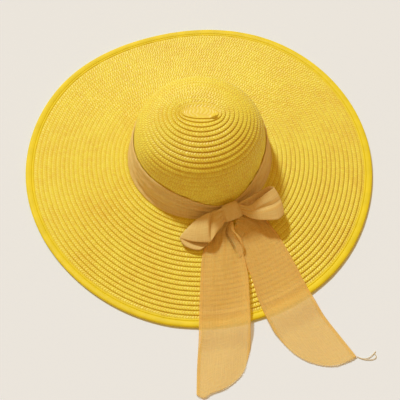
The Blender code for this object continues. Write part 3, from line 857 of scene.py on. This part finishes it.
class HAT_OT_binding(bpy.types.Operator):
    """Folds the tape over the brim's edge and stitches its inner lip"""

    bl_idname = "hat.binding"
    bl_label = "Binding"

    def execute(self, context):
        s = sizes()
        wide = s.tape_width
        low = -s.straw - SINK - 0.0008 - s.tape / 2  # under the braid, close to the floor
        top = s.tape - SINK + 0.0005
        middle = (top + low) / 2
        seam = wide * 0.745  # where the stitches pull the tape down, in from the edge
        # Its section, from the lip on top round the edge to the lip below: in from the rim, up.
        line = (
            (wide, top - 0.0013),
            (wide * 0.96, top - 0.0006),
            (wide * 0.86, top - 0.0001),
            (wide * 0.78, top - 0.0001),
            (seam, top - 0.0007),
            (wide * 0.71, top),
            (wide * 0.45, top + 0.0004),
            (wide * 0.22, top + 0.0002),
            (wide * 0.09, top - 0.0003),
            (0.0002, middle + 0.0007),
            (0.0000, middle - 0.0002),
            (wide * 0.04, middle - 0.0014),
            (wide * 0.14, low + 0.0001),
            (wide * 0.35, low),
            (wide * 0.75, low),
            (wide, low + 0.0002),
        )
        marks = range(len(line))
        _, reach = brim_reach()

        def place(along, across):
            j = across * (len(line) - 1)
            inward = np.interp(j, marks, [spot[0] for spot in line])
            up = np.interp(j, marks, [spot[1] for spot in line])
            turn = 2 * math.pi * along
            # The seam puckers the tape a little on top.
            ripple = 0.00012 * np.sin(47 * turn) + 0.0001 * np.sin(83 * turn + 1.0)
            return brim_at(1 + (s.tape - inward) / reach, turn, up + ripple * (up > 0))

        def lay(along, across):
            return along * math.pi * s.brim_span, across * 2 * wide

        made = sheet_of("binding_tape", 420, 42, place, lay)
        thicken(made, s.tape, True)
        face_out(made)
        smooth(made, 60)
        dress(made, woven_tape())
        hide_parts("brim_binding")

        # One short stitch, then its copies round the seam
        spacing = 0.0042
        half_sizes = (0.0014, 0.0004, 0.0004)  # of a stitch, along the seam, across it and up
        count = round(math.pi * s.brim_span / spacing)
        fresh()
        bpy.ops.mesh.primitive_uv_sphere_add(segments=6, ring_count=4, radius=1)
        stitches = bpy.context.active_object
        one = coordinates(stitches) * half_sizes
        faces = [tuple(face.vertices) for face in stitches.data.polygons]
        turns = 2 * math.pi * np.arange(count) / count
        spots = brim_at(np.full(count, 1 + (s.tape - seam) / reach), turns, top - 0.0005)
        every, joined = [], []
        for i, (turn, spot) in enumerate(zip(turns, spots)):
            way = np.array((-math.sin(turn), math.cos(turn), 0.0))
            out = np.array((math.cos(turn), math.sin(turn), 0.0))
            every.append(spot + one[:, :1] * way + one[:, 1:2] * out + one[:, 2:] * UP)
            joined += [tuple(v + i * len(one) for v in face) for face in faces]
        rebuild(stitches, "binding_stitches", every, joined)
        dress(stitches, bare_thread("Yellow sewing thread", tuple(colours().tape)))
        return {"FINISHED"}


class HAT_OT_hatband(bpy.types.Operator):
    """Gathers the ribbon round the foot of the crown, with its upper edge turned under"""

    bl_idname = "hat.hatband"
    bl_label = "Hatband"

    def execute(self, context):
        s = sizes()
        roll, hem = 0.0006, 0.0150  # radius of the upper edge, and what is turned under there
        rise = 0.07  # share of the grid that rolls over the upper edge
        tuck = 0.14  # and that is turned under behind it
        modelled = 0.06  # metres of the ribbon's width; the rest, turned in at the foot, isn't
        straw_top = s.relief - SINK
        clear, tucked_clear, rolled_clear = 0.0004, 0.0003, 0.0005  # from the braid
        flare, puff = 0.0018, 0.0032  # of the lower edge over the brim, and between the edges
        round_outside = math.pi * (s.head_length + 0.006)

        def place(along, across):
            turn = 2 * math.pi * along
            low, high = FOOT_TOP + s.ribbon, band_top(turn)
            pull = near_knot(turn, math.radians(38))
            front = np.clip((across - tuck - rise) / (1 - tuck - rise), 0, 1)
            bend = math.pi * np.clip((tuck + rise - across) / rise, 0, 1)
            behind = np.clip((tuck - across) / tuck, 0, 1)
            out = straw_top + rolled_clear + 2 * roll
            out = out + flare * (front**6) + puff * np.sin(math.pi * front) ** 0.6
            for crease in BAND_CREASES:
                drift = np.sin(2 * turn + crease.phase) + 0.5 * np.sin(5 * turn + 2 * crease.phase)
                there = crease.place + crease.drift * drift * (1 - 0.6 * pull)
                strength = 0.62 + 0.38 * np.sin(3 * turn + 3 * crease.phase) + 0.8 * pull
                off = np.abs(front - there) / crease.width
                out = out - crease.depth * strength * np.exp(-(off**1.5))
            out = np.maximum(out, straw_top + clear)
            # Fine crumples, slanting down the band
            out = out + 0.00025 * np.sin(37 * turn + 9 * front) * np.sin(14 * front + 3 * turn)
            out = np.where(bend > 0, out - roll * (1 - np.cos(bend)), out)
            height = high - roll + roll * np.sin(bend) - (high - roll - low) * front
            height = height - np.minimum(hem, 0.6 * (high - low)) * behind
            out = np.where(behind > 0, np.maximum(out, straw_top + tucked_clear), out)
            return beside_crown(height, turn, out)

        def lay(along, across):
            return along * round_outside, across * modelled

        made = ribbon_of("ribbon_band", 300, 56, place, lay)
        dress(made, sheer_linen("Peach linen, doubled", 0.97))
        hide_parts("hatband")
        return {"FINISHED"}


class HAT_OT_knot(bpy.types.Operator):
    """Wraps the gathered crossing loop that holds the bow"""

    bl_idname = "hat.knot"
    bl_label = "Knot"

    def execute(self, context):
        s = sizes()
        wrap = 2 * s.knot_length + s.knot_depth  # right round the bow, front and back
        deep_gather, fine_gather = 0.075, 0.03  # shares of the knot's width and depth

        def place(along, across):
            way = 0.5 - 0.5 * np.cos(math.pi * along)  # closer together at both ends
            turn = 2 * math.pi * across
            closing = np.sqrt(np.clip(1 - (2 * along - 1) ** 8, 0, 1))
            wide = read(KNOT_ROWS, "along", way, "width") * closing
            deep = read(KNOT_ROWS, "along", way, "depth") * closing
            twist = 0.5 * (way - 0.5)
            wander = 0.6 * np.sin(3 * turn)
            gathers = deep_gather * np.abs(np.sin(4.5 * turn + twist + wander)) ** 0.7
            gathers = gathers + fine_gather * np.sin(15 * turn + 4 * way)
            size = 0.5 * (1.02 - deep_gather + gathers)
            centre = KNOT_MIDDLE + DOWN * (s.knot_length * (way - 0.5))[:, None]
            sideways = RIGHT * (np.cos(turn) * wide * s.knot_width * size)[:, None]
            return centre + sideways + PROUD * (np.sin(turn) * deep * s.knot_depth * size)[:, None]

        def lay(along, across):
            return along * wrap, across * s.ribbon_width

        made = ribbon_of("bow_crossing", 40, 160, place, lay)
        dress(made, bpy.data.materials["Peach linen, doubled"])
        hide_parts("bow_knot")
        # One layer of the ribbon, folded in half lengthways
        return {"FINISHED"}


def bow_loop(name, rows, root, reach, side, fold):
    """One loop of the bow, over the knot's flank, round its far fold and back underneath. side is
    -1 for the left one and 1 for the right, and fold gives its own folds."""
    s = sizes()
    flank = s.knot_width / 2 + 0.0003
    tucked = 0.002  # the roots reach this far into the knot's flank
    hem = 0.24  # share of the ribbon folded in at each side
    folded_in = 0.46  # how far across the loop it then reaches
    hem_depth = 0.0009  # how far inside the loop it lies
    puff = 0.003  # how far the layers swell between their margins
    gather, gathers, gathered_over = 0.0009, 3.5, 0.11  # beside the knot
    over_band, over_straw, over_brim = 0.0052, 0.0012, 0.0022  # where the loop touches them

    def rooted(share, layer):
        spot = root.top + (root.low - root.top) * share
        wide = s.knot_width / 2 * read(KNOT_ROWS, "along", spot, "width")
        drop = DOWN * (s.knot_length * (spot - 0.5)) + PROUD * (s.knot_depth * 0.05 * layer)
        return KNOT_MIDDLE + drop + RIGHT * side * (wide - tucked)

    def placed(away, beyond, lift):
        sideways = RIGHT * side * (flank + (reach - flank) * away)
        return KNOT_MIDDLE + sideways + OUT * beyond * reach + UP * lift * s.loop_lift

    stations = [Station(0.0, *rooted(0, 1), *rooted(1, 1))]
    for row in rows:
        top = placed(row.side, row.out, row.up)
        low = placed(row.low_side, row.low_out, row.low_up)
        stations.append(Station(row.along, *top, *low))
    stations.append(Station(1.0, *rooted(0, -1), *rooted(1, -1)))

    def place(along, spread_across):
        # Both margins of the ribbon are folded in, almost to the middle, inside the loop.
        inner = np.clip(1 - spread_across / hem, 0, 1)
        inner = inner + np.clip(1 - (1 - spread_across) / hem, 0, 1)
        across = np.clip((spread_across - hem) / (1 - 2 * hem), 0, 1)
        across = across + folded_in * inner * np.where(spread_across < 0.5, 1, -1)
        top = points(*(read(stations, "along", along, c) for c in ("x", "y", "z")))
        low = points(*(read(stations, "along", along, c) for c in ("low_x", "low_y", "low_z")))
        around = math.pi * along
        swell = UP * np.cos(around)[:, None] + RIGHT * side * np.sin(around)[:, None]
        bow = 4 * across * (1 - across) * np.sqrt(np.sin(around)) * puff
        near_root = np.exp(-((np.minimum(along, 1 - along) / gathered_over) ** 2))
        bow = bow + gather * near_root * np.sin(2 * math.pi * gathers * across + 1.0)
        spots = top + (low - top) * across[:, None] + swell * bow[:, None]
        spots = spots + fold(along, across)
        spots = spots - swell * (hem_depth * ease(6 * inner) * (0.3 + 0.7 * np.sin(around)))[:, None]
        # It stays outside the band and the crown, and above what is below it.
        turn = np.arctan2(spots[:, 1], spots[:, 0])
        cover = np.where(spots[:, 2] < band_top(turn), over_band, over_straw)
        beside = beside_crown(spots[:, 2].copy(), turn, cover)
        least = np.hypot(beside[:, 0], beside[:, 1])
        radius = np.maximum(np.hypot(spots[:, 0], spots[:, 1]), least)
        spots[:, 0], spots[:, 1] = radius * np.cos(turn), radius * np.sin(turn)
        floor = rest_height(spots[:, 0], spots[:, 1]) + over_brim
        spots[:, 2] = np.maximum(spots[:, 2], floor)
        return spots

    def lay(along, across):
        return along * 2 * reach, across * s.ribbon_width

    return ribbon_of(name, 110, 64, place, lay)


class HAT_OT_bow_loops(bpy.types.Operator):
    """Makes the bow's two loops"""

    bl_idname = "hat.bow_loops"
    bl_label = "Bow loops"

    def execute(self, context):
        s = sizes()
        linen = sheer_linen("Peach linen, single", 0.92)

        def left_fold(along, across):
            # A valley across the front layer, where the ribbon is bent by its own weight
            dip = -0.004 * np.exp(-(((along - 0.20 - 0.03 * across) / 0.035) ** 2))
            ridge = 0.0015 * np.exp(-(((along - 0.30) / 0.05) ** 2))
            return PROUD * ((dip + ridge) * np.sin(math.pi * across) ** 0.5)[:, None]

        def right_fold(along, across):
            # A shallow trough along the front layer
            dip = -0.0022 * np.exp(-(((across - 0.45) / 0.10) ** 2))
            return PROUD * (dip * np.exp(-(((along - 0.3) / 0.22) ** 2)))[:, None]

        loops = (
            ("left", LEFT_LOOP_ROWS, LEFT_LOOP_ROOT, s.left_loop, -1, left_fold),
            ("right", RIGHT_LOOP_ROWS, RIGHT_LOOP_ROOT, s.right_loop, 1, right_fold),
        )
        for name, rows, root, reach, side, fold in loops:
            made = bow_loop("bow_" + name, rows, root, reach, side, fold)
            dress(made, linen)
            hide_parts("bow_loop_" + name)
        return {"FINISHED"}


def knot_foot():
    return KNOT_MIDDLE + DOWN * (sizes().knot_length / 2)


def tail_centre(tail, reach, along):
    """A tail's middle line, level."""
    foot = knot_foot()
    x = foot[0] + read(tail.rows, "along", along, "x") * reach
    y = foot[1] + read(tail.rows, "along", along, "y") * reach
    return points(x, y, 0.0)


def tail_spots(tail, reach, along, across):
    """Points of a tail, from under the knot over the brim and out onto the floor."""
    s = sizes()
    on_left = tail.side == "left"
    at = 2 * across - 1
    short_by = read(tail.cut, "across", at, "short_by") * s.ribbon_width / reach
    way_along = along * (1 - short_by)
    small = 0.01
    ahead = tail_centre(tail, reach, np.minimum(way_along + small, 1))
    behind = tail_centre(tail, reach, np.maximum(way_along - small, 0))
    way = unit(ahead - behind)
    beside = points(-way[:, 1], way[:, 0], 0.0)
    width = read(tail.rows, "along", way_along, "width")
    half_width = width * s.ribbon_width / 2
    sideways = at * half_width

    # The right tail spreads towards the left one as far down as they lie side by side.
    spread = 0.009 * np.maximum(-at, 0) * (1 - ease((along - 0.22) / 0.36))
    sideways = sideways - spread * (not on_left)

    # Beside the knot the left tail's right margin stands up and folds back over itself.
    leaf_from = 0.70  # of the half width
    margin = np.clip((at - leaf_from) / (1 - leaf_from), 0, 1)
    leaf = np.sin(math.pi * np.clip(along / 0.22, 0, 1)) ** 0.6 * (margin > 0) * on_left
    over = 0.0150 * np.sin(0.80 * math.pi * margin) - 0.013 * (1 - ease(along / 0.24))
    sideways = sideways * (1 - leaf) + (leaf_from * half_width + over) * leaf

    spots = tail_centre(tail, reach, way_along) + beside * sideways[:, None]
    gathered = np.clip(1 - width, 0, 1)
    pleats = 0.0016 * gathered * (1 + np.sin(2 * math.pi * 4.5 * across + 2 * along + tail.phase))
    waves = 0.0007 * (1 + np.sin(9 * along + 3 * at + tail.phase))
    waves = waves * np.sin(math.pi * np.clip(3 * along, 0, 1) / 2)
    leaf_rise = leaf * (0.0020 + 0.0110 * margin) * (margin > 0)
    curled = 0.0060 * margin**2 * np.sin(math.pi * np.clip(along, 0, 1)) * on_left
    spots[:, 2] = rest_height(spots[:, 0], spots[:, 1]) + waves + leaf_rise
    spots[:, 2] += (pleats + curled) * (1 - leaf)

    # Its root rises to the knot's foot.
    foot = knot_foot()
    risen = foot[2] - rest_height(foot[:1], foot[1:2])[0]
    spots[:, 2] += np.maximum(risen - 0.001, 0) * (1 - ease(along / 0.11))
    return spots


def tubes(name, paths):
    """Thin four-sided threads along paths, each a pair of its points and its half thickness."""
    sides = 4
    every, joined, base = [], [], 0
    for spots, size in paths:
        ahead = unit(np.gradient(spots, axis=0) * (1, 1, 0))
        beside = np.stack((-ahead[:, 1], ahead[:, 0], np.zeros(len(spots))), axis=-1)
        turns = np.arange(sides) * 2 * math.pi / sides
        rings = beside[:, None] * np.cos(turns)[:, None] + UP * np.sin(turns)[:, None]
        every.append((spots[:, None] + rings * size).reshape(-1, 3))
        for k in range(len(spots) - 1):
            for q in range(sides):
                a, b = base + k * sides + q, base + k * sides + (q + 1) % sides
                joined.append((a, b, b + sides, a + sides))
        end = base + (len(spots) - 1) * sides
        joined.append(tuple(range(base, base + sides)))
        joined.append(tuple(range(end, end + sides)))
        base = end + sides
    fresh()
    bpy.ops.mesh.primitive_plane_add(size=1)
    made = bpy.context.active_object
    rebuild(made, name, every, joined)
    return made


def frayed_end(name, place, curls):
    """Bare threads along a cut end: place gives points on the tail for shares along and across."""
    count, reach, thickness = 110, 0.0026, 0.00022  # of the threads; half their thickness
    inside_cut = 0.0008  # where they start
    lift, arch = 0.0005, 0.0006  # over what they lie on
    curl_thickness = 0.00055  # half of a curl's, which is several threads twisted together
    chance = random.Random(7)
    across = np.linspace(0.02, 0.98, count)
    ends = place(np.full(count, 1.0), across)
    before_ends = place(np.full(count, 0.985), across)
    paths = []
    for end, before in zip(ends, before_ends):
        way = unit((end - before) * (1, 1, 0))
        beside = np.array((-way[1], way[0], 0.0))
        size = thickness * chance.uniform(0.8, 1.4)
        out = reach * chance.uniform(0.3, 1.0) ** 1.4
        curl = chance.uniform(-0.5, 0.5)
        t = np.linspace(0, 1, 4)[:, None]
        spots = end - way * inside_cut + way * out * t + beside * out * curl * t * t
        lies_on = rest_height(spots[:, 0], spots[:, 1])
        spots[:, 2] = lies_on + lift + arch * np.sin(math.pi * t[:, 0])
        paths.append((spots, size))
    for rows in curls:
        at = np.linspace(0, 1, 26)
        x, y = read(rows, "along", at, "x"), read(rows, "along", at, "y")
        paths.append((points(x, y, 2 * curl_thickness), curl_thickness))
    return tubes(name, paths)


class HAT_OT_tails(bpy.types.Operator):
    """Lays the two ribbon ends over the brim and past its edge, with frayed cut ends"""

    bl_idname = "hat.tails"
    bl_label = "Tails"

    def execute(self, context):
        s = sizes()
        linen = sheer_linen("Peach linen, laid flat", 0.44)
        thread = bare_thread("Bare linen thread", tuple(colours().thread))
        for tail, reach in zip(TAILS, (s.left_tail, s.right_tail)):

            def place(along, across, tail=tail, reach=reach):
                return tail_spots(tail, reach, along, across)

            def lay(along, across, reach=reach):
                return along * reach, across * s.ribbon_width

            made = ribbon_of("ribbon_tail_" + tail.side, 130, 40, place, lay)
            dress(made, linen)
            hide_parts("tail_" + tail.side)
            fray = frayed_end("fray_" + tail.side, place, tail.curls)
            dress(fray, thread)
            # The mean of how far the slanting cut shortens the tail's end, as a share of the ribbon's
            # width
            short_by = read(tail.cut, "across", np.linspace(-1, 1, 201), "short_by").mean()
        return {"FINISHED"}


class HAT_OT_stage(bpy.types.Operator):
    """Sets the floor, the soft studio light and the camera"""

    bl_idname = "hat.stage"
    bl_label = "Stage"

    def execute(self, context):
        fresh()
        bpy.ops.mesh.primitive_plane_add(size=20)
        floor = context.active_object
        floor.name = "studio_floor"
        made, tree = new_material("Studio floor")
        matt = {"Base Color": (*colours().floor, 1.0), "Roughness": 0.9, "Specular IOR Level": 0.1}
        shader = node(tree, "ShaderNodeBsdfPrincipled", matt)
        node(tree, "ShaderNodeOutputMaterial", (shader,))
        floor.data.materials.append(made)

        world = bpy.data.worlds.new("Studio")
        context.scene.world = world
        world.use_nodes = True
        background = world.node_tree.nodes["Background"]
        background.inputs["Color"].default_value = (*colours().fill, 1.0)
        background.inputs["Strength"].default_value = 0.55

        bpy.ops.object.light_add(type="SUN", location=(0, 0, 2))
        key = context.active_object
        key.name = "Key"
        key.data.energy = 2.52
        key.data.angle = math.radians(7)
        key.data.color = colours().key
        towards = Vector((-0.45, 0.75, 1.0))
        key.rotation_euler = towards.to_track_quat("Z", "Y").to_euler()

        tilt = math.radians(59.3)  # above the floor
        distance = 2.45
        focal, picture = 1773.0, 400  # pixels: the focal length and the picture's width
        origin_high, origin_left = 29, 0.2  # pixels, from the picture's middle to the origin
        sensor = 36  # millimetres
        back = Vector((0, -math.cos(tilt), math.sin(tilt)))
        upward = Vector((0, math.sin(tilt), math.cos(tilt)))
        sideways = Vector((origin_left / focal * distance, 0, 0))
        target = -upward * (origin_high / focal * distance) + sideways
        bpy.ops.object.camera_add(
            location=target + back * distance, rotation=(math.pi / 2 - tilt, 0, 0)
        )
        camera = context.active_object
        camera.data.sensor_width = sensor
        camera.data.lens = focal * sensor / picture
        camera.data.clip_end = 50
        context.scene.camera = camera
        # Keeps the straw's full yellow, which the default view takes out of bright colours
        context.scene.view_settings.view_transform = "Standard"
        return {"FINISHED"}


PIECES = (
    HAT_OT_crown,
    HAT_OT_brim,
    HAT_OT_binding,
    HAT_OT_hatband,
    HAT_OT_knot,
    HAT_OT_bow_loops,
    HAT_OT_tails,
    HAT_OT_stage,
)


class HAT_PT_maker(bpy.types.Panel):
    """The hat's pieces, in the order that they are made"""

    bl_idname = "HAT_PT_maker"
    bl_label = "Sun hat"
    bl_space_type = "VIEW_3D"
    bl_region_type = "UI"
    bl_category = "Sun Hat"

    def draw(self, context):
        for piece in PIECES:
            self.layout.operator(piece.bl_idname)


def register():
    for made in (HatSizes, HatColours, *PIECES, HAT_PT_maker):
        bpy.utils.register_class(made)
    bpy.types.Scene.hat_sizes = PointerProperty(type=HatSizes)
    bpy.types.Scene.hat_colours = PointerProperty(type=HatColours)


def unregister():
    del bpy.types.Scene.hat_colours
    del bpy.types.Scene.hat_sizes
    for made in (HAT_PT_maker, *reversed(PIECES), HatColours, HatSizes):
        bpy.utils.unregister_class(made)


def main():
    register()
    bpy.ops.hat.crown()
    bpy.ops.hat.brim()
    bpy.ops.hat.binding()
    bpy.ops.hat.hatband()
    bpy.ops.hat.knot()
    bpy.ops.hat.bow_loops()
    bpy.ops.hat.tails()
    bpy.ops.hat.stage()


if __name__ == "__main__":
    main()
